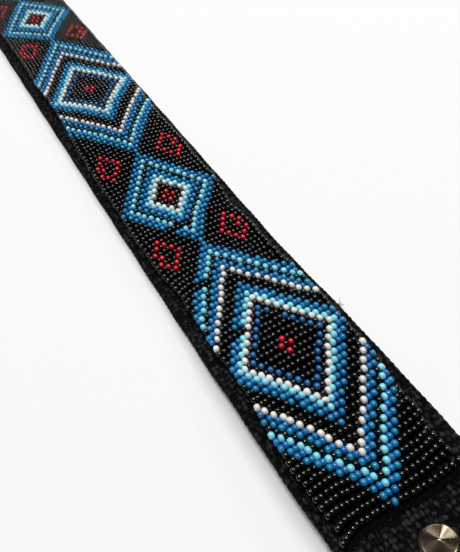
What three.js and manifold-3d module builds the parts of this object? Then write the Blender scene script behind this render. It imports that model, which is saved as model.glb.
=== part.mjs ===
// A beaded belt: a webbing strap with a loom-woven bead panel on top, a cone stud and a plain buckle.
// Millimetres. The belt lies flat at Z = 0, X runs along it, the buckle is at -X and the tip at +X.
// The pieces are built with X = 0 at the panel's near end, and the whole is centred at the end.

import * as THREE from 'three';
import { mergeVertices } from 'three/addons/utils/BufferGeometryUtils.js';
import Module from 'manifold-3d';

const wasm = await Module();
wasm.setup();

// Clearance between pieces that touch, and between the strap's two layers
const CLEARANCE = 0.3;

// Bead panel: square loom work, with rows across the belt
const BEAD_PITCH_ACROSS = 1.55;
const BEAD_PITCH_ALONG = 2.35;
const BEAD_COLUMNS = 23;
const LARGE_DIAMOND_ROWS = 45;
const SMALL_DIAMOND_ROWS = 23;
const LARGE_DIAMONDS = 5;
const BEAD_DIAMETER = 2.1;
const PANEL_END_BOW = 1.7;

const PANEL_WIDTH = BEAD_COLUMNS * BEAD_PITCH_ACROSS;
const PANEL_ROWS = LARGE_DIAMONDS * LARGE_DIAMOND_ROWS + (LARGE_DIAMONDS - 1) * SMALL_DIAMOND_ROWS;
const PANEL_LENGTH = PANEL_ROWS * BEAD_PITCH_ALONG;

// Strap
const STRAP_WIDTH = 40;
const STRAP_THICKNESS = 3.4;
const TIP_RUN = 270;
const TURN_UNDER_END = 41;
const RAMP_LENGTH = 54;
const HOLE_COUNT = 5;
const HOLE_DIAMETER = 5;
const HOLE_SPACING = 25;
const FIRST_HOLE_FROM_TIP = 60;

// Stud
const STUD_TO_PANEL = 11.2;
const STUD_DIAMETER = 9.2;
const STUD_HEIGHT = 3;
const STUD_RIM_HEIGHT = 0.5;
const POST_DIAMETER = 3;
const POST_HOLE_DIAMETER = 3.8;

// Buckle
const BAR_TO_PANEL = 38;
const FRAME_BAR_SPACING = 27;
const FRAME_BAR = 5;
const FRAME_THICKNESS = 3.2;
const FRAME_INNER_WIDTH = 42;
const FRAME_CORNER = 6;
const FOLD_BAR = 3.4;
const FRAME_BEVEL = 0.6;
const FRAME_INNER_CORNER = 1;
const PRONG_WIDTH = 3.8;
const PRONG_THICKNESS = 2.6;
const PRONG_TIP_THICKNESS = 1.6;
const PRONG_TIP_REACH = 2;
const PRONG_SINK = 0.2;
const PRONG_ROOT_RADIUS = 3;
const PRONG_SLOT_WIDTH = 7;
const PRONG_SLOT_REACH = 10;
const FOLD_INNER_RADIUS = 2.7;

const BAR_X = -BAR_TO_PANEL;
const STUD_X = -STUD_TO_PANEL;
const BAR_Z = STRAP_THICKNESS + FOLD_INNER_RADIUS;
const LAYERED_LIFT = STRAP_THICKNESS + CLEARANCE;
const FOLD_LIFT = STRAP_THICKNESS + 2 * FOLD_INNER_RADIUS;
const PINCH_X = STUD_X - STUD_DIAMETER / 2;
const RAMP_START = TURN_UNDER_END + 1;
const TIP_X = PANEL_LENGTH + TIP_RUN;

// Heights that pass below and above the whole belt, for cutting through it
const BELOW = -1;
const ABOVE = 2 * BAR_Z;

// Materials
const webbing = new THREE.MeshStandardMaterial({ color: '#17171a', roughness: 0.95, metalness: 0 });
const glassBeads = new THREE.MeshStandardMaterial({ color: '#1767a8', roughness: 0.25, metalness: 0 });
const antiqueBrass = new THREE.MeshStandardMaterial({ color: '#5b4a38', roughness: 0.3, metalness: 1 });

// Booleans
function solidOf(geometry) {
  const bare = geometry.clone();
  bare.deleteAttribute('normal');
  bare.deleteAttribute('uv');
  const merged = mergeVertices(bare, 1e-4);
  const vertProperties = new Float32Array(merged.attributes.position.array);
  const triVerts = new Uint32Array(merged.index.array);
  return new wasm.Manifold(new wasm.Mesh({ numProp: 3, vertProperties, triVerts }));
}

function geometryOf(solid) {
  const mesh = solid.getMesh();
  const geometry = new THREE.BufferGeometry();
  geometry.setAttribute('position', new THREE.BufferAttribute(new Float32Array(mesh.vertProperties), 3));
  geometry.setIndex(new THREE.BufferAttribute(new Uint32Array(mesh.triVerts), 1));
  const faceted = geometry.toNonIndexed();
  faceted.computeVertexNormals();
  return faceted;
}

function named(name, geometry, material) {
  const mesh = new THREE.Mesh(geometry, material);
  mesh.name = name;
  return mesh;
}

// Shape tools
function smoothStep(t) {
  const s = Math.min(Math.max(t, 0), 1);
  return s * s * (3 - 2 * s);
}

// A side outline in X and Z, extruded across the belt's width and centred on Y = 0
function extrudeAcross(points, width) {
  const shape = new THREE.Shape(points);
  const geometry = new THREE.ExtrudeGeometry(shape, { depth: width, bevelEnabled: false });
  geometry.rotateX(Math.PI / 2);
  geometry.translate(0, width / 2, 0);
  return geometry;
}

// A plan outline in X and Y, extruded up past everything
function extrudeUp(shape, segments = 12) {
  const geometry = new THREE.ExtrudeGeometry(shape, {
    depth: ABOVE - BELOW, bevelEnabled: false, curveSegments: segments,
  });
  geometry.translate(0, 0, BELOW);
  return geometry;
}

// Moves every point of a line sideways, to its left as the line runs
function offsetLine(points, distance) {
  return points.map((point, i) => {
    const before = points[Math.max(i - 1, 0)];
    const after = points[Math.min(i + 1, points.length - 1)];
    const along = after.clone().sub(before).normalize();
    return new THREE.Vector2(point.x - along.y * distance, point.y + along.x * distance);
  });
}

// The closed outline of a layer between two distances from a line
function band(line, low, high) {
  return [...offsetLine(line, low), ...offsetLine(line, high).reverse()];
}

// Height of the upper layer's underside: over the bar, flat on the turned-under layer, then down
function upperLift(x) {
  if (x < PINCH_X) {
    return LAYERED_LIFT + (FOLD_LIFT - LAYERED_LIFT) * smoothStep((PINCH_X - x) / (PINCH_X - BAR_X));
  }
  return LAYERED_LIFT * (1 - smoothStep((x - RAMP_START) / RAMP_LENGTH));
}

function stepsBetween(from, to, count) {
  return Array.from({ length: count + 1 }, (_, i) => from + ((to - from) * i) / count);
}

// The strap's middle line on its upper layer, from the bar to the tip
function upperLine() {
  const stations = [
    ...stepsBetween(BAR_X, PINCH_X, 10),
    ...stepsBetween(RAMP_START, RAMP_START + RAMP_LENGTH, 12),
    TIP_X,
  ];
  return stations.map((x) => new THREE.Vector2(x, upperLift(x) + STRAP_THICKNESS / 2));
}

// Strap
function strapLine() {
  const radius = FOLD_INNER_RADIUS + STRAP_THICKNESS / 2;
  const lower = [
    new THREE.Vector2(TURN_UNDER_END, STRAP_THICKNESS / 2),
    new THREE.Vector2(BAR_X, STRAP_THICKNESS / 2),
  ];
  const turn = stepsBetween(0, Math.PI, 16).slice(1, -1).map((angle) => (
    new THREE.Vector2(BAR_X - radius * Math.sin(angle), BAR_Z - radius * Math.cos(angle))
  ));
  return [...lower, ...turn, ...upperLine()];
}

function circleShape(x, y, diameter) {
  const shape = new THREE.Shape();
  shape.absarc(x, y, diameter / 2, 0, 2 * Math.PI);
  return shape;
}

function strapOutline() {
  const half = STRAP_WIDTH / 2;
  const shape = new THREE.Shape();
  shape.moveTo(BAR_X - STRAP_WIDTH, -half);
  shape.lineTo(TIP_X - half, -half);
  shape.absarc(TIP_X - half, 0, half, -Math.PI / 2, Math.PI / 2);
  shape.lineTo(BAR_X - STRAP_WIDTH, half);
  return shape;
}

function prongSlot() {
  const half = PRONG_SLOT_WIDTH / 2;
  const end = BAR_X + PRONG_SLOT_REACH - half;
  const shape = new THREE.Shape();
  shape.moveTo(BAR_X - STRAP_WIDTH, -half);
  shape.lineTo(end, -half);
  shape.absarc(end, 0, half, -Math.PI / 2, Math.PI / 2);
  shape.lineTo(BAR_X - STRAP_WIDTH, half);
  return shape;
}

function strap() {
  const half = STRAP_THICKNESS / 2;
  let solid = solidOf(extrudeAcross(band(strapLine(), -half, half), STRAP_WIDTH));
  solid = solid.intersect(solidOf(extrudeUp(strapOutline(), 32)));
  const cuts = [prongSlot(), circleShape(STUD_X, 0, POST_HOLE_DIAMETER)];
  for (let i = 0; i < HOLE_COUNT; i += 1) {
    cuts.push(circleShape(TIP_X - FIRST_HOLE_FROM_TIP - i * HOLE_SPACING, 0, HOLE_DIAMETER));
  }
  for (const cut of cuts) {
    solid = solid.subtract(solidOf(extrudeUp(cut)));
  }
  return named('strap', geometryOf(solid), webbing);
}

// Bead panel: follows the strap's upper face, and its near end bows out along the belt
function beadPanel() {
  const low = STRAP_THICKNESS / 2 + CLEARANCE;
  const sideSlab = solidOf(extrudeAcross(band(upperLine(), low, low + BEAD_DIAMETER), PANEL_WIDTH));
  const half = PANEL_WIDTH / 2;
  const cornerX = PANEL_END_BOW / 2;
  const outline = new THREE.Shape();
  outline.moveTo(cornerX, half);
  outline.quadraticCurveTo(cornerX - 2 * PANEL_END_BOW, 0, cornerX, -half);
  outline.lineTo(PANEL_LENGTH, -half);
  outline.lineTo(PANEL_LENGTH, half);
  const panel = sideSlab.intersect(solidOf(extrudeUp(outline)));
  return named('bead_panel', geometryOf(panel), glassBeads);
}

// Stud: a low cone cap on a post that goes down through both layers of the strap
function coneStud() {
  const seat = LAYERED_LIFT + STRAP_THICKNESS + CLEARANCE;
  const postLength = seat - 2 * CLEARANCE;
  const capRadius = STUD_DIAMETER / 2;
  const profile = [
    new THREE.Vector2(0, -postLength),
    new THREE.Vector2(POST_DIAMETER / 2, -postLength),
    new THREE.Vector2(POST_DIAMETER / 2, 0),
    new THREE.Vector2(capRadius, 0),
    new THREE.Vector2(capRadius, STUD_RIM_HEIGHT),
    new THREE.Vector2(0, STUD_HEIGHT),
  ];
  const geometry = new THREE.LatheGeometry(profile, 32);
  geometry.rotateX(Math.PI / 2);
  const stud = named('cone_stud', geometryOf(solidOf(geometry)), antiqueBrass);
  stud.position.set(STUD_X, 0, seat);
  return stud;
}

// Buckle: built flat with its fold bar on Y, then tipped so that its far bar meets the surface
function roundedRectangle(shape, lowX, highX, halfY, radius) {
  shape.moveTo(lowX + radius, -halfY);
  shape.lineTo(highX - radius, -halfY);
  shape.absarc(highX - radius, -halfY + radius, radius, -Math.PI / 2, 0);
  shape.lineTo(highX, halfY - radius);
  shape.absarc(highX - radius, halfY - radius, radius, 0, Math.PI / 2);
  shape.lineTo(lowX + radius, halfY);
  shape.absarc(lowX + radius, halfY - radius, radius, Math.PI / 2, Math.PI);
  shape.lineTo(lowX, -halfY + radius);
  shape.absarc(lowX + radius, -halfY + radius, radius, Math.PI, 1.5 * Math.PI);
  return shape;
}

function buckleFrame() {
  const farX = -(FRAME_BAR_SPACING + FRAME_BAR / 2);
  const innerX = farX + FRAME_BAR;
  const halfInner = FRAME_INNER_WIDTH / 2;
  const shape = roundedRectangle(
    new THREE.Shape(), farX, FOLD_BAR / 2, halfInner + FRAME_BAR, FRAME_CORNER,
  );
  shape.holes.push(
    roundedRectangle(new THREE.Path(), innerX, -FOLD_BAR / 2, halfInner, FRAME_INNER_CORNER),
  );
  const geometry = new THREE.ExtrudeGeometry(shape, {
    depth: FRAME_THICKNESS - 2 * FRAME_BEVEL,
    bevelThickness: FRAME_BEVEL,
    bevelSize: FRAME_BEVEL,
    bevelOffset: -FRAME_BEVEL,
    bevelSegments: 2,
    curveSegments: 6,
  });
  geometry.translate(0, 0, FRAME_BEVEL - FRAME_THICKNESS / 2);
  return geometry;
}

// The prong starts at its root ring on the fold bar and lies on the far bar, fused to both
function prongOutline() {
  const onBar = FRAME_THICKNESS / 2 - PRONG_SINK;
  const restX = -FRAME_BAR_SPACING;
  return [
    new THREE.Vector2(-PRONG_ROOT_RADIUS, 0),
    new THREE.Vector2(restX + FRAME_BAR / 2, onBar),
    new THREE.Vector2(restX - PRONG_TIP_REACH, onBar),
    new THREE.Vector2(restX - PRONG_TIP_REACH, onBar + PRONG_TIP_THICKNESS),
    new THREE.Vector2(restX, onBar + PRONG_THICKNESS),
    new THREE.Vector2(0, PRONG_ROOT_RADIUS),
    new THREE.Vector2(0, 0),
  ];
}

function buckle() {
  const ring = new THREE.CylinderGeometry(PRONG_ROOT_RADIUS, PRONG_ROOT_RADIUS, PRONG_WIDTH, 20);
  const solid = solidOf(buckleFrame())
    .add(solidOf(ring))
    .add(solidOf(extrudeAcross(prongOutline(), PRONG_WIDTH)));
  const reach = FRAME_BAR_SPACING + FRAME_BAR / 2;
  const halfThick = FRAME_THICKNESS / 2;
  const tilt = Math.asin(BAR_Z / Math.hypot(reach, halfThick)) - Math.atan2(halfThick, reach);
  const mesh = named('buckle', geometryOf(solid), antiqueBrass);
  mesh.position.set(BAR_X, 0, BAR_Z);
  mesh.rotation.y = -tilt;
  return mesh;
}

// The belt, with its length centred on the origin
const belt = new THREE.Group();
belt.add(strap(), beadPanel(), coneStud(), buckle());
belt.updateMatrixWorld(true);
const bounds = new THREE.Box3().setFromObject(belt, true);
belt.position.x = -(bounds.min.x + bounds.max.x) / 2;

export default belt;
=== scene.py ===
"""A loom-beaded webbing belt, lying flat: a black webbing strap, a panel of opaque glass seed beads,
a cone stud and a plain buckle.

Pieces are laid out in millimetres, with x measured along the belt from the near edge of the bead
panel. place() turns that into the metres of the row frame.
"""
import math

import bpy
import numpy as np
from mathutils import Matrix, Vector


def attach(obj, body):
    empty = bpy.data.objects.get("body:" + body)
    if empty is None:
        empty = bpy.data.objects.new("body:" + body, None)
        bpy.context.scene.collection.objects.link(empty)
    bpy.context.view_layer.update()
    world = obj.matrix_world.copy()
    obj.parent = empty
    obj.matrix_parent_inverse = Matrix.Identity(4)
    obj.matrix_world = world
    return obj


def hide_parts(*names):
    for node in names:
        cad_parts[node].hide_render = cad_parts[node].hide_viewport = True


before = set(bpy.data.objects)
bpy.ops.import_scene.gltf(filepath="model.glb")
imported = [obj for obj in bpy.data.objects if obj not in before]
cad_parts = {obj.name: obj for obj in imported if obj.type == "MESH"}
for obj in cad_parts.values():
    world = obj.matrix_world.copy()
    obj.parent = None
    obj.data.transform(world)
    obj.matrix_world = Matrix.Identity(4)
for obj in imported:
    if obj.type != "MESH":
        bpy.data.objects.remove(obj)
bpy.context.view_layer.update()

MM = 0.001
PANEL_NEAR_EDGE = -473.8225   # row-frame x of the bead panel's near edge, in mm

# Bead panel, in mm
BEAD_COLUMNS = 23
BEAD_ROWS = 317
ROW_PITCH = 2.35
BEAD_DIAMETER = 2.1
BEAD_LENGTH = 1.56
MIDDLE_COLUMN = 11
LARGE_ROWS = 45        # in a large diamond
SMALL_ROWS = 23        # in a small one
REPEAT_ROWS = LARGE_ROWS + SMALL_ROWS
RED_RING_INSET = 8     # from the middle column out to a red ring's middle
CLEARANCE = 0.3        # between the webbing and the beads

# Strap, in mm
STRAP_WIDTH = 40.0
STRAP_THICKNESS = 3.4
EDGE_ROUNDING = 1.1
TURN_UNDER_END = 41.0
RAMP_START = 42.0
RAMP_LENGTH = 54.0
TIP_X = 1014.95
HOLE_DIAMETER = 5.0
HOLE_SPACING = 25.0
FIRST_HOLE_FROM_TIP = 60.0
HOLE_COUNT = 5
YARN_FLOAT = 2.1      # length of one warp yarn's float on the face
YARN_WIDTH = 1.45     # width of one warp yarn
WEBBING_DARK = "#020202"
# The crowns' colour is partly wear and partly painted light. The furrows take the dark colour as painted
# shade.
WEBBING_WORN_AND_LIT = "#363639"
WEAVE_DEPTH = 0.34    # from a furrow to the crown of a full float
WEAVE_LEVEL = 0.75    # share of that depth which lies below the webbing's own face
TURN_UNDER_INSET = 1.5    # how much narrower the hidden layer is trimmed, on each side
INSET_FADE_START = 62.0   # along the webbing, where the trimmed layer begins to widen again
INSET_FADE_LENGTH = 16.0
SKIVED_LENGTH = 9.0   # thinned end of the turned-under layer
COVERED_FROM, COVERED_TO = 4.0, 742.0   # between these the beads hide the webbing's middle
BARE_MARGIN = 15.6    # from the middle line out to where the webbing shows beside the beads
POST_HOLE_DIAMETER = 3.8
PRONG_SLOT_WIDTH = 7.0
PRONG_SLOT_REACH = 10.0

# Threads and fibres, in mm
WARP_THREAD = 0.26
STITCH_THREAD = 0.42
SELVAGE_THREAD = 0.55
ROWS_A_STITCH = 5
SELVAGE_PASSES = 3
FIBRE_WIDTH = 0.055
FIBRE_EDGE = 19.3     # fibres past this distance from the middle line grow from the webbing's edge
TUFT_FIBRES = 26
TUFT_X = 57.0

# Stud and buckle bar, in mm
STUD_X = -11.2
STUD_RADIUS = 4.6
STUD_APEX = 2.72     # the cap is rounder in the shoulder and lower than a plain cone
STUD_SEAT = 7.4
STUD_SLOPE = 0.38    # height lost for each mm out from the point
POST_RADIUS = 1.5
BAR_X = -38.0
BAR_Z = 6.1
FOLD_RADIUS = 4.4     # of the webbing's middle line round the bar
LAYERED_LIFT = 3.7    # of the upper layer where it lies on the turned-under one
FOLD_LIFT = 8.8       # of the upper layer over the buckle's bar
PINCH_X = STUD_X - STUD_RADIUS   # where the two layers meet again behind the bar

rng = np.random.default_rng(17)


# ---- Shape of the strap's run ----

def smooth_step(t):
    t = np.clip(t, 0.0, 1.0)
    return t * t * (3.0 - 2.0 * t)


def upper_lift(x):
    """Height of the upper layer's underside: over the bar, on the turned-under layer, then down."""
    over_bar = LAYERED_LIFT + (FOLD_LIFT - LAYERED_LIFT) * smooth_step((PINCH_X - x) / (PINCH_X - BAR_X))
    run_down = LAYERED_LIFT * (1.0 - smooth_step((x - RAMP_START) / RAMP_LENGTH))
    return np.where(x < PINCH_X, over_bar, run_down)


def place(points):
    """Millimetres along the belt to metres in the row frame."""
    return (np.asarray(points, float) + (PANEL_NEAR_EDGE, 0.0, 0.0)) * MM


# ---- Meshes ----

def mesh_piece(name, points, faces, material, replaced):
    """faces is a list of integer arrays, one for each number of corners."""
    mesh = bpy.data.meshes.new(name)
    mesh.vertices.add(len(points))
    mesh.vertices.foreach_set("co", place(points).astype(np.float32).ravel())
    faces = [np.asarray(f, np.int32) for f in faces if len(f)]
    corners = np.concatenate([f.ravel() for f in faces])
    counts = np.concatenate([np.full(len(f), f.shape[1], np.int32) for f in faces])
    mesh.loops.add(len(corners))
    mesh.loops.foreach_set("vertex_index", corners)
    mesh.polygons.add(len(counts))
    mesh.polygons.foreach_set("loop_start", np.concatenate([[0], np.cumsum(counts)[:-1]]).astype(np.int32))
    mesh.polygons.foreach_set("loop_total", counts)
    mesh.update(calc_edges=True)
    mesh.validate()
    mesh.shade_smooth()
    mesh.materials.append(material)
    piece = bpy.data.objects.new(name, mesh)
    bpy.context.scene.collection.objects.link(piece)
    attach(piece, "root")
    if replaced:
        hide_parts(replaced)
    return piece


def store_per_point(piece, name, values):
    attribute = piece.data.attributes.new(name, "FLOAT", "POINT")
    attribute.data.foreach_set("value", np.asarray(values, np.float32))


# ---- Nodes ----

def linear(hex_colour):
    """sRGB hex to a linear colour."""
    channels = [int(hex_colour[i:i + 2], 16) / 255.0 for i in (1, 3, 5)]
    return tuple(c / 12.92 if c <= 0.04045 else ((c + 0.055) / 1.055) ** 2.4 for c in channels) + (1.0,)


def add_node(tree, kind, settings=None, links=None):
    node = tree.nodes.new("ShaderNode" + kind)
    for name, value in (settings or {}).items():
        if isinstance(name, int) or name in node.inputs:
            node.inputs[name].default_value = value
        else:
            setattr(node, name, value)
    for name, output in (links or {}).items():
        tree.links.new(output, node.inputs[name])
    return node


def new_material(name):
    material = bpy.data.materials.new(name)
    material.use_nodes = True
    tree = material.node_tree
    tree.nodes.clear()
    return material, tree


def bead_glass(name, body, shade, roughness=0.2, glaze=0.3):
    """Opaque pressed glass: an even body colour with a clear fire-polished skin.

    The tone stored on each bead moves it between two dye lots, and a faint unevenness of the skin
    breaks up the highlight.
    """
    material, tree = new_material(name)
    lot = add_node(tree, "Attribute", {"attribute_name": "dye_lot"})
    place_in_belt = add_node(tree, "TexCoord")
    streak = add_node(tree, "TexNoise", {"Scale": 1.0 / (0.9 * MM), "Detail": 3.0},
                      {"Vector": place_in_belt.outputs["Object"]})
    mottle = add_node(tree, "Math", {"operation": "MULTIPLY_ADD", 1: 0.5}, {0: streak.outputs["Fac"],
                      2: lot.outputs["Fac"]})
    amount = add_node(tree, "Math", {"operation": "SUBTRACT", 1: 0.25, "use_clamp": True},
                      {0: mottle.outputs[0]})
    colour = add_node(tree, "Mix", {"data_type": "RGBA", 6: linear(body), 7: linear(shade)},
                      {0: amount.outputs[0]})
    skin = add_node(tree, "TexNoise", {"Scale": 1.0 / (0.7 * MM), "Detail": 2.0},
                    {"Vector": place_in_belt.outputs["Object"]})
    relief = add_node(tree, "Bump", {"Strength": 0.25, "Distance": 0.05 * MM},
                      {"Height": skin.outputs["Fac"]})
    polish = add_node(tree, "MapRange", {"To Min": roughness * 0.75, "To Max": roughness * 1.35},
                      {"Value": skin.outputs["Fac"]})
    shader = add_node(tree, "BsdfPrincipled", {"IOR": 1.55, "Metallic": 0.0, "Coat Weight": glaze,
                      "Coat IOR": 1.55, "Coat Roughness": 0.05}, {
        "Base Color": colour.outputs[2], "Roughness": polish.outputs[0], "Normal": relief.outputs[0]})
    add_node(tree, "OutputMaterial", None, {"Surface": shader.outputs[0]})
    return material


def woven_cotton(name):
    """Heavy black cotton webbing of matt yarns. The crowns are painted grey, partly wear and partly painted
    light, and the furrows are painted black as painted shade.

    The cells are a little finer than the floats, each with its own wear, so the face looks blotchy.
    The single fibres are drawn at 0.35 mm, a little coarser than real, so that they are still seen.
    """
    material, tree = new_material(name)
    lie = add_node(tree, "UVMap", {"uv_map": "developed"})
    floats = add_node(tree, "VectorMath", {"operation": "MULTIPLY",
                      1: (1.3 / (YARN_FLOAT * MM), 1.2 / (YARN_WIDTH * MM), 1.0)}, {0: lie.outputs[0]})
    stray = add_node(tree, "TexNoise", {"Scale": 0.8, "Detail": 3.0}, {"Vector": floats.outputs[0]})
    pushed = add_node(tree, "VectorMath", {"operation": "MULTIPLY_ADD", 1: (0.8, 0.8, 0.8)},
                      {0: stray.outputs["Color"], 2: floats.outputs[0]})
    cell = add_node(tree, "TexVoronoi", {"Scale": 1.0, "Randomness": 0.6}, {"Vector": pushed.outputs[0]})
    # Painted shade and light: crown is 1 on each float's crown and 0 in the furrows. The colour follows it,
    # so the furrows are darkened and the crowns lightened as light would fall.
    crown = add_node(tree, "MapRange", {"From Min": 0.15, "From Max": 0.62, "To Min": 1.0, "To Max": 0.0},
                     {"Value": cell.outputs["Distance"]})
    wear = add_node(tree, "SeparateXYZ", None, {0: cell.outputs["Color"]})
    worn = add_node(tree, "Math", {"operation": "POWER", 1: 1.1}, {0: wear.outputs[0]})
    in_place = add_node(tree, "TexCoord")
    fibre = add_node(tree, "TexNoise", {"Scale": 1.0 / (0.35 * MM), "Detail": 4.0, "Roughness": 0.75},
                     {"Vector": in_place.outputs["Object"]})
    # rubbed is each cell's real wear times the crown's painted light, so it carries both.
    rubbed = add_node(tree, "Math", {"operation": "MULTIPLY"}, {0: crown.outputs[0], 1: worn.outputs[0]})
    hairy = add_node(tree, "Math", {"operation": "MULTIPLY_ADD", 1: 0.8},
                     {0: fibre.outputs["Fac"], 2: rubbed.outputs[0]})
    shade = add_node(tree, "MapRange", {"From Min": 0.48, "From Max": 1.15}, {"Value": hairy.outputs[0]})
    colour = add_node(tree, "Mix", {"data_type": "RGBA", 6: linear(WEBBING_DARK), 7: linear(WEBBING_WORN_AND_LIT)},
                      {0: shade.outputs[0]})
    grain = add_node(tree, "Math", {"operation": "MULTIPLY_ADD", 1: 0.6},
                     {0: fibre.outputs["Fac"], 2: crown.outputs[0]})
    relief = add_node(tree, "Bump", {"Strength": 1.0, "Distance": 0.5 * MM}, {"Height": grain.outputs[0]})
    shader = add_node(tree, "BsdfPrincipled", {"Roughness": 0.95, "IOR": 1.45, "Specular IOR Level": 0.08,
                      "Sheen Weight": 0.03, "Sheen Roughness": 0.6, "Sheen Tint": linear("#9a9aa2")},
                      {"Base Color": colour.outputs[2], "Normal": relief.outputs[0]})
    add_node(tree, "OutputMaterial", None, {"Surface": shader.outputs[0]})
    return material


def spun_thread(name, body, shade):
    """Waxed beading thread or loose cotton fibre: spun and matt, so it is only seen as fine lines."""
    material, tree = new_material(name)
    lie = add_node(tree, "TexCoord")
    twist = add_node(tree, "TexNoise", {"Scale": 1.0 / (0.3 * MM), "Detail": 3.0},
                     {"Vector": lie.outputs["Object"]})
    colour = add_node(tree, "Mix", {"data_type": "RGBA", 6: linear(body), 7: linear(shade)},
                      {0: twist.outputs["Fac"]})
    relief = add_node(tree, "Bump", {"Strength": 0.5, "Distance": 0.1 * MM}, {"Height": twist.outputs["Fac"]})
    shader = add_node(tree, "BsdfPrincipled", {"Roughness": 0.95, "IOR": 1.5, "Specular IOR Level": 0.12},
                      {"Base Color": colour.outputs[2], "Normal": relief.outputs[0]})
    add_node(tree, "OutputMaterial", None, {"Surface": shader.outputs[0]})
    return material


def antique_plating(name, bright, dark, roughness):
    """Antique-plated brass, rubbed back: warm metal under a patchy brown film, with fine scratches that
    soften what it reflects."""
    material, tree = new_material(name)
    lie = add_node(tree, "TexCoord")
    film = add_node(tree, "TexNoise", {"Scale": 1.0 / (3.0 * MM), "Detail": 4.0, "Roughness": 0.6},
                    {"Vector": lie.outputs["Object"]})
    rub = add_node(tree, "MapRange", {"From Min": 0.35, "From Max": 0.65}, {"Value": film.outputs["Fac"]})
    colour = add_node(tree, "Mix", {"data_type": "RGBA", 6: linear(bright), 7: linear(dark)},
                      {0: rub.outputs[0]})
    scratch = add_node(tree, "TexNoise", {"Scale": 1.0 / (0.25 * MM), "Detail": 2.0},
                       {"Vector": lie.outputs["Object"]})
    polish = add_node(tree, "MapRange", {"To Min": roughness * 0.7, "To Max": roughness * 1.4},
                      {"Value": scratch.outputs["Fac"]})
    relief = add_node(tree, "Bump", {"Strength": 0.15, "Distance": 0.03 * MM},
                      {"Height": scratch.outputs["Fac"]})
    shader = add_node(tree, "BsdfPrincipled", {"Metallic": 1.0}, {
        "Base Color": colour.outputs[2], "Roughness": polish.outputs[0], "Normal": relief.outputs[0]})
    add_node(tree, "OutputMaterial", None, {"Surface": shader.outputs[0]})
    return material


def pale_paper(name):
    """Uncoated white paper: matt and even, so the belt's soft shadow is what shows on it."""
    material, tree = new_material(name)
    lie = add_node(tree, "TexCoord")
    tooth = add_node(tree, "TexNoise", {"Scale": 1.0 / (1.5 * MM)}, {"Vector": lie.outputs["Object"]})
    colour = add_node(tree, "Mix", {"data_type": "RGBA", 6: linear("#f3f3f3"), 7: linear("#f6f6f6")},
                      {0: tooth.outputs["Fac"]})
    shader = add_node(tree, "BsdfPrincipled", {"Roughness": 0.9, "Specular IOR Level": 0.2},
                      {"Base Color": colour.outputs[2]})
    add_node(tree, "OutputMaterial", None, {"Surface": shader.outputs[0]})
    return material


# ---- Bead chart ----

def bead_chart():
    """Colour letter of every bead, by row from the near end and by column from left to right.

    Both diamonds are nested rings. A ring's number is its distance in from the diamond's outline.
    K black, T teal, B royal, L turquoise, W white, D deep blue, R red.
    """
    large = "TBLKTBWKKKTBLWKD" + "KKKKK" + "RK"
    small = "TBLKTBLWKKRK"
    chart = np.full((BEAD_ROWS, BEAD_COLUMNS), "K")
    for row in range(BEAD_ROWS):
        step = row % REPEAT_ROWS
        rings, centre = (large, LARGE_ROWS // 2) if step < LARGE_ROWS else (
            small, LARGE_ROWS + SMALL_ROWS // 2)
        for column in range(BEAD_COLUMNS):
            ring = len(rings) - 1 - abs(step - centre) - abs(column - MIDDLE_COLUMN)
            if ring >= 0:
                chart[row, column] = rings[ring]
    # Open red rings beside each small diamond's two ends, notched towards the belt's edge
    ring_steps = [(3, 0), (2, 1), (2, -1), (1, 2), (1, -2), (0, 3), (0, -3), (-1, 2), (-1, -2),
                  (-2, 1), (-2, -1), (-1, 0)]
    for start in range(LARGE_ROWS, BEAD_ROWS - LARGE_ROWS, REPEAT_ROWS):
        for row in (start, start + SMALL_ROWS - 1):
            for side in (-1, 1):
                for inward, along in ring_steps:
                    chart[row + along, MIDDLE_COLUMN + side * (RED_RING_INSET - inward)] = "R"
    chart[0, MIDDLE_COLUMN] = "T"
    chart[1, MIDDLE_COLUMN + 1] = "B"
    # Places where the beader picked up black beads and lost the pattern for part of a row
    chart[27, 4:7] = "K"
    chart[27, 13] = "K"
    chart[37, 4:7] = "K"
    chart[49, 7:12] = "K"
    return chart


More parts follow.
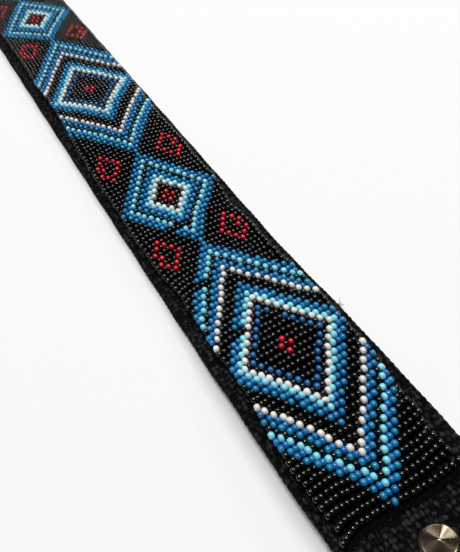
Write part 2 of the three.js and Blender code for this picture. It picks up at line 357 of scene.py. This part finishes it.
# How the hand-worked rows wander, in mm. Each line is a row number, then six terms across the belt
# and six along it. A term multiplies a power of t, which runs from -1 at the left end of a row to 1 at
# its right end: a shift of the row, its half width, a bow, a skew, and two that move only its ends.
# Right, as seen from the near end, is positive, and so is further away. The four lines from row 140 on
# only carry the wandering on to the panel's far end.
WANDER = [
    (0, -2.31, 16.26, 1.06, -0.04, 0.35, -0.01, -0.20, -0.91, -0.44, 2.16, -0.20, 0.07),
    (1, -2.13, 15.63, 1.14, -0.14, 0.44, 0.01, -0.15, -0.85, 0.46, 2.13, -0.12, 0.11),
    (2, -1.20, 15.89, 0.36, -0.26, 0.17, 0.08, -0.48, -0.94, 1.10, 1.57, -0.11, 0.09),
    (4, -0.89, 16.10, 0.10, -0.57, -0.24, 0.04, -0.36, -1.06, 0.83, 1.54, -0.12, 0.05),
    (6, -1.34, 16.56, 1.26, -0.59, -0.22, 0.27, -0.36, -0.84, 0.96, 1.61, -0.22, -0.08),
    (8, -1.83, 17.06, 1.28, -0.34, -0.35, -0.28, -0.63, -0.69, 0.69, 1.62, -0.10, -0.19),
    (10, -1.03, 16.64, 0.74, 0.04, -0.43, -0.44, -0.60, -0.61, 0.21, 1.43, 0.05, -0.22),
    (15, -0.21, 16.63, 0.76, 0.26, -0.27, -0.15, -0.53, -0.20, -0.36, 1.43, -0.14, -0.08),
    (20, -0.23, 16.61, 0.58, -0.07, 0.19, -0.35, -0.81, -0.13, -0.75, 1.28, 0.47, -0.24),
    (26, 0.84, 16.56, -0.41, -0.25, 0.15, 0.30, -0.55, 0.16, -1.08, 1.11, 0.55, 0.07),
    (32, 1.04, 17.23, -0.53, -0.95, 0.25, 0.12, -0.26, -0.39, -1.53, 0.55, 0.48, 0.41),
    (38, 0.10, 16.15, -0.18, -0.80, 0.56, 0.45, -0.05, -0.35, -0.48, 0.39, -0.05, 0.66),
    (44, -0.13, 16.43, -0.24, -0.12, 0.36, 0.29, -1.12, -0.90, -0.66, 0.38, 0.05, 0.50),
    (50, -0.65, 16.32, -0.07, -0.47, -0.24, 0.36, -0.42, -0.92, -1.89, 0.03, 0.32, 0.39),
    (56, 0.55, 17.51, -0.32, -1.14, 0.19, 0.56, -0.43, -0.77, -1.56, -0.08, 0.74, 0.39),
    (62, 0.62, 17.63, -0.84, -1.27, 0.16, 0.61, 0.41, -1.36, -1.99, 0.34, 0.72, 0.16),
    (68, 0.69, 17.17, -0.41, -0.95, -0.05, 0.95, 2.21, -1.44, -2.85, 0.23, 0.42, -0.10),
    (76, 1.23, 16.53, -0.39, -0.28, -0.46, 0.45, 4.03, -1.37, -3.65, -0.48, 0.33, -0.31),
    (84, 1.52, 16.62, 0.31, 0.11, -0.54, -0.36, 4.68, -0.65, -3.22, -0.80, 0.31, -0.64),
    (92, 1.47, 16.79, 0.10, 0.14, 0.05, -0.32, 2.56, -0.76, -3.19, -0.19, 1.39, -0.21),
    (100, 1.06, 17.38, -0.33, -0.31, 0.24, -0.31, 1.84, -0.17, -3.95, 0.08, 1.61, -0.29),
    (110, 1.76, 17.12, -0.50, -0.48, -0.03, 0.10, 2.53, 0.18, -4.69, 0.24, 1.42, -0.33),
    (120, 1.45, 17.56, -0.44, -0.82, 0.19, 0.06, 2.35, 0.91, -5.40, -0.03, 1.18, -0.81),
    (140, 0.60, 17.30, -0.50, -0.40, 0.00, 0.00, 1.80, 0.30, -2.00, 0.70, 0.00, 0.00),
    (180, -0.20, 17.00, 0.20, 0.00, 0.10, 0.10, 0.60, -0.40, -0.50, 0.20, 0.20, -0.10),
    (250, 0.50, 16.80, -0.30, 0.20, -0.10, 0.10, -0.40, 0.50, 0.60, -0.30, 0.10, 0.10),
    (316, 0.00, 16.70, 0.20, -0.20, 0.10, 0.00, -0.20, 0.20, 0.40, -0.20, 0.00, 0.00),
]
WANDER_POWERS = (0, 1, 2, 3, 8, 9)


def row_line(rows, columns, first_term):
    """Offset of each bead from one set of six terms in WANDER."""
    known_rows = [line[0] for line in WANDER]
    t = columns / MIDDLE_COLUMN
    return sum(np.interp(rows, known_rows, [line[first_term + k] for line in WANDER]) * t ** power
               for k, power in enumerate(WANDER_POWERS))


def bead_places():
    """x, y and z of every bead's centre, by row and column."""
    rows, columns = np.meshgrid(np.arange(BEAD_ROWS), np.arange(BEAD_COLUMNS) - MIDDLE_COLUMN, indexing="ij")
    across = row_line(rows, columns, 1)
    across += rng.normal(0.0, 0.13, (BEAD_ROWS, 1)) + rng.normal(0.0, 0.09, rows.shape)
    along = (rows + 0.5) * ROW_PITCH + row_line(rows, columns, 7)
    along += rng.normal(0.0, 0.07, (BEAD_ROWS, 1)) + rng.normal(0.0, 0.09, rows.shape)
    height = upper_lift(along) + STRAP_THICKNESS + CLEARANCE + BEAD_DIAMETER / 2
    height += rng.normal(0.0, 0.05, rows.shape)
    return np.stack([along, -across, height], axis=-1)


# Beads that sit turned on their thread, so that a hole shows: row, column and turn in radians
TURNED_BEADS = [(13, 11, 1.0), (38, 11, -0.9), (5, 19, 0.8), (22, 3, -0.7)]


# ---- Beads ----

def turned_form(around, profile, dimple):
    """A closed form turned about Y: rings of (y, radius), with a dimple point at each end."""
    angles = np.arange(around) * 2.0 * math.pi / around
    ring = np.stack([np.cos(angles), np.zeros(around), np.sin(angles)], axis=-1)
    points = np.concatenate([ring * (r, 0, r) + (0, y, 0) for y, r in profile]
                            + [[(0, -dimple, 0)], [(0, dimple, 0)]])
    this = np.arange(around)
    after = (this + 1) % around
    quads = np.concatenate([np.stack([k * around + this, (k + 1) * around + this,
                                      (k + 1) * around + after, k * around + after], axis=-1)
                            for k in range(len(profile) - 1)])
    last = (len(profile) - 1) * around
    low, high = len(points) - 2, len(points) - 1
    ends = np.concatenate([np.stack([np.full(around, low), this, after], axis=-1),
                           np.stack([np.full(around, high), last + after, last + this], axis=-1)])
    return points, quads, ends


def turned_by(a, b, angles):
    """Two coordinates turned in their plane, by an angle for each bead."""
    cos, sin = np.cos(angles)[:, None], np.sin(angles)[:, None]
    return a * cos - b * sin, a * sin + b * cos


def bead_rows(name, form, places, chart, first, last, letter, material):
    """One joined piece with every bead of one colour in a run of rows."""
    chosen = np.argwhere(chart[first:last] == letter) + (first, 0)
    shape, quads, ends = form
    centres = places[chosen[:, 0], chosen[:, 1]]
    count = len(centres)
    plump = 1.07 if letter in "WL" else 1.0   # the white and turquoise beads are a little larger
    girth = plump * BEAD_DIAMETER / 2 * rng.normal(1.0, 0.03, count)
    reach = plump * BEAD_LENGTH / 2 * rng.normal(1.0, 0.04, count)
    yaw, roll = rng.normal(0.0, 0.09, count), rng.normal(0.0, 0.07, count)
    for row, column, turn in TURNED_BEADS:
        yaw[(chosen == (row, column)).all(axis=1)] = turn
    spin = rng.uniform(0.0, 2.0 * math.pi, count)
    x, z = turned_by(shape[:, 0], shape[:, 2], spin)
    x, y, z = x * girth[:, None], shape[:, 1] * reach[:, None], z * girth[:, None]
    x, y = turned_by(x, y, yaw)
    y, z = turned_by(y, z, roll)
    points = np.stack([x, y, z], axis=-1) + centres[:, None, :]
    step = (np.arange(count) * len(shape))[:, None, None]
    piece = mesh_piece(name, points.reshape(-1, 3),
                       [(quads + step).reshape(-1, 4), (ends + step).reshape(-1, 3)],
                       material, "bead_panel")
    store_per_point(piece, "dye_lot", np.repeat(rng.uniform(0.0, 1.0, count), len(shape)))


def bead_panel():
    chart = bead_chart()
    places = bead_places()
    fine = turned_form(12, [(-0.97, 0.42), (-0.68, 0.82), (0.0, 1.0), (0.68, 0.82), (0.97, 0.42)], 0.7)
    plain = turned_form(10, [(-0.94, 0.48), (-0.45, 0.92), (0.45, 0.92), (0.94, 0.48)], 0.7)
    glasses = {
        "K": ("jet_black", bead_glass("opaque_glass_jet", "#010101", "#020203", 0.12, 0.2)),
        "T": ("teal", bead_glass("opaque_glass_teal", "#157aac", "#1d88ba")),
        "B": ("royal", bead_glass("opaque_glass_royal", "#0a68a8", "#1074b4")),
        "L": ("turquoise", bead_glass("opaque_glass_turquoise", "#80dcee", "#94eaf6")),
        "W": ("white", bead_glass("opaque_glass_white", "#ece7e1", "#f6f3ee", 0.24)),
        "D": ("deep_blue", bead_glass("opaque_glass_deep_blue", "#1a5f98", "#226aa4")),
        "R": ("red", bead_glass("opaque_glass_red", "#c20e22", "#da1830")),
    }
    spans = [(0, 76, fine), (76, 196, plain), (196, BEAD_ROWS, plain)]
    for letter, (colour_name, glass) in glasses.items():
        for number, (first, last, form) in enumerate(spans):
            bead_rows(f"beads_{colour_name}_{number}", form, places, chart, first, last, letter, glass)
    return places


# ---- Strap ----

FLOAT_FULLNESS = rng.uniform(0.35, 1.0, (700, 40))   # how full each float is, along and across


def yarn_height(along, across):
    """0 in the furrows to 1 on the crown of each warp yarn's float, laid like bricks."""
    column = across / YARN_WIDTH + 0.12 * np.sin(along / 3.1)
    run = along / YARN_FLOAT + 0.5 * np.floor(column)
    floats, yarns = FLOAT_FULLNESS.shape
    fullness = FLOAT_FULLNESS[np.clip(np.floor(run + 0.5).astype(int), 0, floats - 1),
                              np.clip(np.floor(column).astype(int) + yarns // 2, 0, yarns - 1)]
    return fullness * np.abs(np.sin(math.pi * column)) * (0.6 + 0.4 * np.cos(2.0 * math.pi * run))


def strap_stations():
    """Points down the strap's middle line: along, x, z, and the outward direction's x and z."""
    lower_length = TURN_UNDER_END - BAR_X
    turn_length = math.pi * FOLD_RADIUS
    lower = [(s, TURN_UNDER_END - s, STRAP_THICKNESS / 2, 0.0, -1.0)
             for s in np.arange(0.0, lower_length, 1.4)]
    turn = []
    for s in np.arange(0.0, turn_length, 0.45):
        angle = s / FOLD_RADIUS
        turn.append((lower_length + s, BAR_X - FOLD_RADIUS * math.sin(angle),
                     BAR_Z - FOLD_RADIUS * math.cos(angle), -math.sin(angle), -math.cos(angle)))
    start = lower_length + turn_length
    tip = TIP_X - 0.04
    runs = [(BAR_X, 8.0, 0.42), (8.0, 736.0, 0.9), (736.0, tip, 0.85)]   # from x, to x, step
    x = np.concatenate([np.linspace(a, b, int((b - a) / step), endpoint=False) for a, b, step in runs]
                       + [[tip]])
    z = upper_lift(x) + STRAP_THICKNESS / 2
    slope = (upper_lift(x + 0.05) - upper_lift(x - 0.05)) / 0.1
    along = start + np.concatenate([[0.0], np.cumsum(np.hypot(np.diff(x), np.diff(z)))])
    length = np.hypot(slope, 1.0)
    upper = np.stack([along, x, z, -slope / length, 1.0 / length], axis=-1)
    return np.concatenate([np.array(lower), np.array(turn), upper])


def ring_across(face_steps):
    """A cross-section in mm: the distance across from the middle line, and out from it.

    It runs over the outer face, round one rounded edge, back along the inner face and round the other.
    """
    flat = STRAP_WIDTH / 2 - EDGE_ROUNDING
    rise = STRAP_THICKNESS / 2
    right = [(flat + EDGE_ROUNDING * math.cos(a), rise * math.sin(a))
             for a in np.radians(np.linspace(90, -90, 9))]
    left = [(-y, z) for y, z in reversed(right)]
    outer = [(y, rise) for y in face_steps]
    inner = [(y, -rise) for y in np.linspace(flat, -flat, 12)[1:-1]]
    return np.array(outer + right + inner + left)


def zip_rings(first, second, first_turn, second_turn):
    """Triangles between two closed rings with different numbers of points."""
    triangles = []
    a = b = 0
    na, nb = len(first), len(second)
    while a < na or b < nb:
        ta = first_turn[a + 1] if a < na else 2.0
        tb = second_turn[b + 1] if b < nb else 2.0
        if ta <= tb:
            triangles.append((first[a % na], second[b % nb], first[(a + 1) % na]))
            a += 1
        else:
            triangles.append((first[a % na], second[b % nb], second[(b + 1) % nb]))
            b += 1
    return triangles


def edge_wander(x, on_left):
    """How far each edge stands outside its even line, in mm, where handling has spread the weave.

    The left edge bulges a little near x = 60, and draws in towards the near end, where the right one
    spreads.
    """
    left = 0.2 + 0.28 * math.exp(-((x - 60.0) / 16.0) ** 2) - 0.6 * smooth_step((24.0 - x) / 20.0)
    right = 0.2 + 0.4 * smooth_step((45.0 - x) / 25.0)
    return np.where(on_left, left, right)


def strap_mesh(material):
    inset = STRAP_WIDTH / 2 - EDGE_ROUNDING
    near_end = ring_across(np.linspace(-inset, inset, 107)[1:-1])
    under_panel = ring_across(np.concatenate([np.linspace(-inset, -BARE_MARGIN, 9)[1:], [-10.0, 0.0, 10.0],
                                              np.linspace(BARE_MARGIN, inset, 9)[:-1]]))
    far_end = ring_across(np.linspace(-inset, inset, 72)[1:-1])
    points, uvs = [], []
    for along, x, z, out_x, out_z in strap_stations():
        on_top = out_z > 0
        if along < TURN_UNDER_END - BAR_X or COVERED_FROM <= x < COVERED_TO:
            section = under_panel
        else:
            section = near_end if x < COVERED_FROM else far_end
        from_tip = x - (TIP_X - STRAP_WIDTH / 2)
        width = 1.0
        if from_tip > 0 and on_top:
            width = math.sqrt(max(1.0 - (from_tip / (STRAP_WIDTH / 2)) ** 2, 1e-4))
        y = section[:, 0] * width * (1.0 + edge_wander(x, section[:, 0] > 0) / (STRAP_WIDTH / 2))
        if not on_top:
            trimmed = 1.0 - smooth_step((along - INSET_FADE_START) / INSET_FADE_LENGTH)
            y = y * (1.0 - TURN_UNDER_INSET / (STRAP_WIDTH / 2) * trimmed)
        depth = section[:, 1]
        height = yarn_height(along, y)
        face = np.abs(depth) > STRAP_THICKNESS / 2 - 0.3
        depth = depth + np.sign(depth) * np.where(face, WEAVE_DEPTH * (height - WEAVE_LEVEL), 0.0)
        depth = depth * (0.35 + 0.65 * smooth_step(along / SKIVED_LENGTH))
        loops = 0.13 * math.cos(2.0 * math.pi * along / YARN_FLOAT) + 0.09 * math.sin(along / 3.7)
        y = y + np.where(face, 0.0, np.sign(section[:, 0]) * loops * width)
        ring = np.stack([x + out_x * depth, y, z + out_z * depth], axis=-1)
        points.append(ring)
        uvs.append(np.stack([np.full(len(y), along), section[:, 0] * width], axis=-1))
    sizes = np.array([len(p) for p in points])
    starts = np.concatenate([[0], np.cumsum(sizes)[:-1]])
    quads, triangles = [], []
    for k in range(len(points) - 1):
        one, two = starts[k] + np.arange(sizes[k]), starts[k + 1] + np.arange(sizes[k + 1])
        if sizes[k] == sizes[k + 1]:
            quads.append(np.stack([one, two, np.roll(two, -1), np.roll(one, -1)], axis=-1))
        else:
            turns = []
            for ring in (points[k], points[k + 1]):
                steps = np.linalg.norm(np.roll(ring, -1, axis=0) - ring, axis=1)
                turns.append(np.concatenate([[0.0], np.cumsum(steps) / steps.sum()]))
            triangles += zip_rings(one, two, *turns)
    flat_points = np.concatenate(points)
    flat_uvs = np.concatenate(uvs)
    for k, turn in ((0, 1), (len(points) - 1, -1)):
        centre = len(flat_points)
        flat_points = np.concatenate([flat_points, [points[k].mean(axis=0)]])
        flat_uvs = np.concatenate([flat_uvs, [uvs[k].mean(axis=0)]])
        ring = starts[k] + np.arange(sizes[k])
        cap = np.stack([ring, np.roll(ring, -1), np.full(len(ring), centre)], axis=-1)
        triangles += [tuple(t[::turn]) for t in cap]
    piece = mesh_piece("webbing_strap", flat_points, [np.concatenate(quads), np.array(triangles)],
                       material, "strap")
    layer = piece.data.uv_layers.new(name="developed")
    corners = np.empty(len(piece.data.loops), np.int32)
    piece.data.loops.foreach_get("vertex_index", corners)
    layer.data.foreach_set("uv", (flat_uvs[corners] * MM).astype(np.float32).ravel())
    return piece


def cut_holes(piece):
    """Punch the tip's holes, the stud's hole and the prong's slot through the finished webbing."""
    below, above = -3.0, 25.0   # the punches' ends, clear of the webbing's two faces

    def round_outline(diameter, around):
        return [(diameter / 2 * math.cos(a), diameter / 2 * math.sin(a))
                for a in np.arange(around) * 2 * math.pi / around]

    half = PRONG_SLOT_WIDTH / 2
    end = PRONG_SLOT_REACH - half
    slot = [(-12.0, -half)] + [(end + half * math.cos(a), half * math.sin(a))
                               for a in np.linspace(-math.pi / 2, math.pi / 2, 13)] + [(-12.0, half)]
    cuts = [(BAR_X, slot), (STUD_X, round_outline(POST_HOLE_DIAMETER, 32))]
    for number in range(HOLE_COUNT):
        cuts.append((TIP_X - FIRST_HOLE_FROM_TIP - number * HOLE_SPACING, round_outline(HOLE_DIAMETER, 32)))
    points, faces = [], []
    for x, outline in cuts:
        base, count = len(points), len(outline)
        points += [(x + a, b, level) for level in (below, above) for a, b in outline]
        faces.append(tuple(base + k for k in reversed(range(count))))
        faces.append(tuple(base + count + k for k in range(count)))
        faces += [(base + k, base + (k + 1) % count, base + count + (k + 1) % count, base + count + k)
                  for k in range(count)]
    mesh = bpy.data.meshes.new("punches")
    mesh.from_pydata([tuple(point) for point in place(points)], [], faces)
    punches = bpy.data.objects.new("punches", mesh)
    bpy.context.scene.collection.objects.link(punches)
    cut = piece.modifiers.new("punched", "BOOLEAN")
    cut.operation, cut.object, cut.solver = "DIFFERENCE", punches, "MANIFOLD"
    bpy.context.view_layer.update()
    whole = piece.evaluated_get(bpy.context.evaluated_depsgraph_get())
    finished = bpy.data.meshes.new_from_object(whole)
    piece.modifiers.clear()
    piece.data = finished
    bpy.data.objects.remove(punches)


# ---- Threads and fibres ----

def threads(name, paths, width, material, replaced):
    """Square-section threads, all joined in one piece. paths is an array of thread, step and x, y, z."""
    paths = np.asarray(paths, float)
    count, steps = paths.shape[:2]
    along = np.gradient(paths, axis=1)
    along /= np.linalg.norm(along, axis=-1, keepdims=True) + 1e-9
    side = np.cross(along, (0.0, 0.0, 1.0))
    side += np.where(np.linalg.norm(side, axis=-1, keepdims=True) < 0.05, (0.0, 1.0, 0.0), 0.0)
    side /= np.linalg.norm(side, axis=-1, keepdims=True)
    over = np.cross(side, along)
    corners = [paths + width / 2 * (a * side + b * over) for a, b in ((1, 0), (0, 1), (-1, 0), (0, -1))]
    points = np.stack(corners, axis=2).reshape(-1, 3)
    first = ((np.arange(count)[:, None] * steps + np.arange(steps - 1)[None, :]) * 4).ravel()
    quads = np.concatenate([np.stack([first + k, first + (k + 1) % 4, first + 4 + (k + 1) % 4, first + 4 + k],
                                     axis=-1) for k in range(4)])
    start = np.arange(count) * steps * 4
    stop = start + (steps - 1) * 4
    caps = np.concatenate([start[:, None] + (3, 2, 1, 0), stop[:, None] + (0, 1, 2, 3)])
    mesh_piece(name, points, [quads, caps], material, replaced)


def warp_threads(places, material):
    """The loom's long threads, one between each two columns, sunk to the webbing at both ends."""
    left, right = places[:, :1] + (0.0, 0.85, 0.0), places[:, -1:] - (0.0, 0.85, 0.0)
    between = np.concatenate([left, (places[:, :-1] + places[:, 1:]) / 2, right], axis=1)
    paths = between.transpose(1, 0, 2)
    weave = 0.12 * (-1.0) ** (np.arange(paths.shape[1])[None, :] + np.arange(paths.shape[0])[:, None])
    paths[:, :, 2] += weave - 0.55
    near = [paths[:, :1] - (reach, 0.0, 0.6) for reach in (3.0, 1.6)]
    far = [paths[:, -1:] + (reach, 0.0, -0.6) for reach in (1.6, 3.0)]
    threads("warp_threads", np.concatenate(near + [paths] + far, axis=1), WARP_THREAD, material,
            "bead_panel")
    # A few passes of bare thread close the loom work at each end. They also stand in for the shadow below the
    # first row, as a dark band of painted shade.
    passes = []
    for row, outward in ((0, -1.0), (-1, 1.0)):
        for number in range(SELVAGE_PASSES):
            line = places[row] + (outward * (1.15 + 0.42 * number), 0.0, -1.0 - 0.12 * number)
            line[0, 1] += 0.6
            line[-1, 1] -= 0.6
            line[:, 2] += 0.12 * (-1.0) ** (np.arange(BEAD_COLUMNS) + number)
            passes.append(line)
    threads("end_selvages_and_shade_band", passes, SELVAGE_THREAD, material, "bead_panel")


def edge_stitches(places, material):
    """Small whip stitches that hold the panel's two long edges down on the webbing."""
    paths = []
    for column, outward in ((0, 1.0), (-1, -1.0)):
        for row in range(1, BEAD_ROWS - 1, ROWS_A_STITCH):
            bead = places[row, column] + (rng.normal(0.0, 0.3), 0.0, 0.0)
            paths.append([bead + (dx, outward * dy, dz) for dx, dy, dz in (
                (0.0, 0.7, -0.1), (0.2, 1.05, -0.45), (0.5, 1.35, -1.0), (0.8, 1.55, -1.6))])
    threads("edge_stitches", paths, STITCH_THREAD, material, "bead_panel")


def loose_fibres(material):
    """Short cotton fibres standing off the webbing, with one small tuft at the right-hand edge."""
    top = STRAP_THICKNESS - 0.12   # just under the face, so that each fibre grows out of it
    spots = []
    for low, high, count in ((-36.0, 0.0, 1000), (0.0, 300.0, 1700), (300.0, 1000.0, 500)):
        x = rng.uniform(low, high, count)
        on_margin = 19.9 - 2.3 * rng.uniform(0.0, 1.0, count) ** 1.2
        y = np.where(x < 0.0, rng.uniform(-20.1, 20.1, count), on_margin * rng.choice((-1.0, 1.0), count))
        rise = np.where(np.abs(y) > FIBRE_EDGE, rng.uniform(-2.6, 0.0, count), 0.0)
        spots.append(np.stack([x, y, upper_lift(x) + top + rise], axis=-1))
    tuft = np.tile((TUFT_X, -19.5, float(upper_lift(TUFT_X)) + top - 0.5), (TUFT_FIBRES, 1))
    tuft += rng.normal(0, 0.35, (TUFT_FIBRES, 3))
    spots = np.concatenate(spots + [tuft])
    spots = spots[np.abs(spots[:, 0] - BAR_X) > 3.0]
    count = len(spots)
    outward = np.sign(spots[:, 1]) * (np.abs(spots[:, 1]) > FIBRE_EDGE)
    heading = np.stack([rng.normal(0.0, 1.0, count), rng.normal(0.0, 0.6, count) + 0.1 * outward,
                        np.abs(rng.normal(0.0, 0.45, count))], axis=-1)
    heading[-TUFT_FIBRES:, 1] = -1.6
    heading /= np.linalg.norm(heading, axis=-1, keepdims=True)
    length = rng.uniform(0.35, 0.95, count)
    length[-TUFT_FIBRES:] = rng.uniform(1.0, 1.9, TUFT_FIBRES)
    curl = rng.normal(0.0, 0.25, (count, 3))
    steps = np.array([0.0, 0.5, 1.0])
    paths = (spots[:, None] + heading[:, None] * (length[:, None] * steps)[..., None]
             + curl[:, None] * (steps ** 2)[None, :, None])
    paths[:, :, 2] = np.maximum(paths[:, :, 2], 0.2)
    threads("loose_fibres", paths, FIBRE_WIDTH, material, None)


# ---- Stud ----

def lathe(name, profile, around, centre, material, replaced):
    """A closed form turned about Z from (radius, height), starting and ending on the axis."""
    angles = np.arange(around) * 2.0 * math.pi / around
    rings = [np.stack([r * np.cos(angles), r * np.sin(angles), np.full(around, z)], axis=-1)
             for r, z in profile[1:-1]]
    points = np.concatenate(rings + [[(0, 0, profile[0][1])], [(0, 0, profile[-1][1])]]) + centre
    this = np.arange(around)
    after = (this + 1) % around
    quads = np.concatenate([np.stack([k * around + this, k * around + after, (k + 1) * around + after,
                                      (k + 1) * around + this], axis=-1) for k in range(len(rings) - 1)])
    last = (len(rings) - 1) * around
    low, high = len(points) - 2, len(points) - 1
    ends = np.concatenate([np.stack([np.full(around, low), after, this], axis=-1),
                           np.stack([np.full(around, high), last + this, last + after], axis=-1)])
    mesh_piece(name, points, [quads, ends], material, replaced)


def cone_stud(material):
    """A post with a low cap: a rounded shoulder, then a cone in short rings, up to a blunt point."""
    seat = STUD_SEAT
    profile = [(0, 0.6), (POST_RADIUS - 0.2, 0.6), (POST_RADIUS, 0.8), (POST_RADIUS, seat - 0.05),
               (STUD_RADIUS - 0.3, seat), (STUD_RADIUS - 0.08, seat + 0.06), (STUD_RADIUS, seat + 0.3),
               (STUD_RADIUS - 0.03, seat + 0.6), (STUD_RADIUS - 0.14, seat + 0.88),
               (STUD_RADIUS - 0.4, seat + 1.12), (STUD_RADIUS - 0.75, seat + 1.28),
               *[(r, seat + STUD_APEX - r * STUD_SLOPE) for r in (3.65, 3.4, 2.4, 1.4, 0.6, 0.25)],
               (0.12, seat + STUD_APEX - 0.06), (0, seat + STUD_APEX - 0.04)]
    lathe("polished_cone_stud", profile, 96, (STUD_X, 0.0, 0.0), material, "cone_stud")


# ---- The belt ----

webbing = woven_cotton("black_cotton_webbing")
strap = strap_mesh(webbing)
cut_holes(strap)
bead_centres = bead_panel()
thread = spun_thread("waxed_black_thread", "#010101", "#040405")
warp_threads(bead_centres, thread)
edge_stitches(bead_centres, thread)
loose_fibres(spun_thread("loose_cotton_fibre", "#29292b", "#48484c"))
cone_stud(antique_plating("antique_bronze_polished", "#b9a896", "#8f7660", 0.15))
buckle_plating = antique_plating("antique_brass_cast", "#8a7558", "#5b4a38", 0.34)
buckle = bpy.data.objects["buckle"]
for material_slot in buckle.material_slots:
    material_slot.material = buckle_plating

# ---- Floor, lights and camera ----

FLOOR_REACH = 8.0    # metres from the belt's middle to the paper's end
FLOOR_Z = -0.0003    # metres, just under the belt
STUD_AIM = (-0.485, 0.0, 0.01)   # metres, a place at the stud

floor_mesh = bpy.data.meshes.new("paper_floor")
floor_mesh.from_pydata([(a * FLOOR_REACH, b * FLOOR_REACH, FLOOR_Z)
                        for a, b in ((-1, -1), (1, -1), (1, 1), (-1, 1))], [], [(0, 1, 2, 3)])
floor_mesh.materials.append(pale_paper("pale_paper"))
floor = bpy.data.objects.new("paper_floor", floor_mesh)
bpy.context.scene.collection.objects.link(floor)


def soft_light(name, place_at, aim, size, power):
    lamp = bpy.data.lights.new(name, "AREA")
    lamp.shape = "RECTANGLE"
    lamp.size, lamp.size_y = size
    lamp.energy = power
    light = bpy.data.objects.new(name, lamp)
    light.location = place_at
    light.rotation_mode = "QUATERNION"
    light.rotation_quaternion = (Vector(aim) - Vector(place_at)).to_track_quat("-Z", "Y")
    bpy.context.scene.collection.objects.link(light)


# The first two light the whole belt and give its soft shadow. The others show in the stud's cap.
soft_light("overhead_box", (0.43, 0.3, 3.15), (-0.46, 0.0, 0.0), (0.8, 0.8), 73.0)
soft_light("high_window", (-0.42, -0.7, 1.8), (-0.4, 0.0, 0.0), (1.2, 1.0), 13.2)
soft_light("tall_card", (0.389, -1.118, 0.739), STUD_AIM, (0.2, 0.3), 0.95)
soft_light("far_window", (1.097, -0.704, 1.0), STUD_AIM, (1.1, 0.28), 0.8)
soft_light("right_window", (0.093, -1.43, 0.927), STUD_AIM, (0.7, 0.28), 1.05)

world = bpy.data.worlds.new("studio")
world.use_nodes = True
world.node_tree.nodes["Background"].inputs["Color"].default_value = (1.0, 1.0, 1.0, 1.0)
world.node_tree.nodes["Background"].inputs["Strength"].default_value = 0.05
bpy.context.scene.world = world
bpy.context.scene.view_settings.view_transform = "Standard"

# The camera's place and axes come from the strap's edges and the grid of the beads. The two shifts
# are under a pixel.
camera_data = bpy.data.cameras.new("camera")
camera_data.sensor_fit = "HORIZONTAL"
camera_data.sensor_width = 36.0
camera_data.lens = 57.66
camera_data.shift_x = -0.0012
camera_data.shift_y = 0.0016
camera_data.clip_start = 0.01
camera_data.clip_end = 20.0
camera = bpy.data.objects.new("camera", camera_data)
right = Vector((-0.45899, -0.87333, -0.16313))
up = Vector((0.59648, -0.43900, 0.67193))
back = Vector((-0.65843, 0.21111, 0.72243))
camera.matrix_world = Matrix.Translation((-0.53343, 0.04634, 0.16449)) @ Matrix(
    (right, up, back)).transposed().to_4x4()
bpy.context.scene.collection.objects.link(camera)
bpy.context.scene.camera = camera
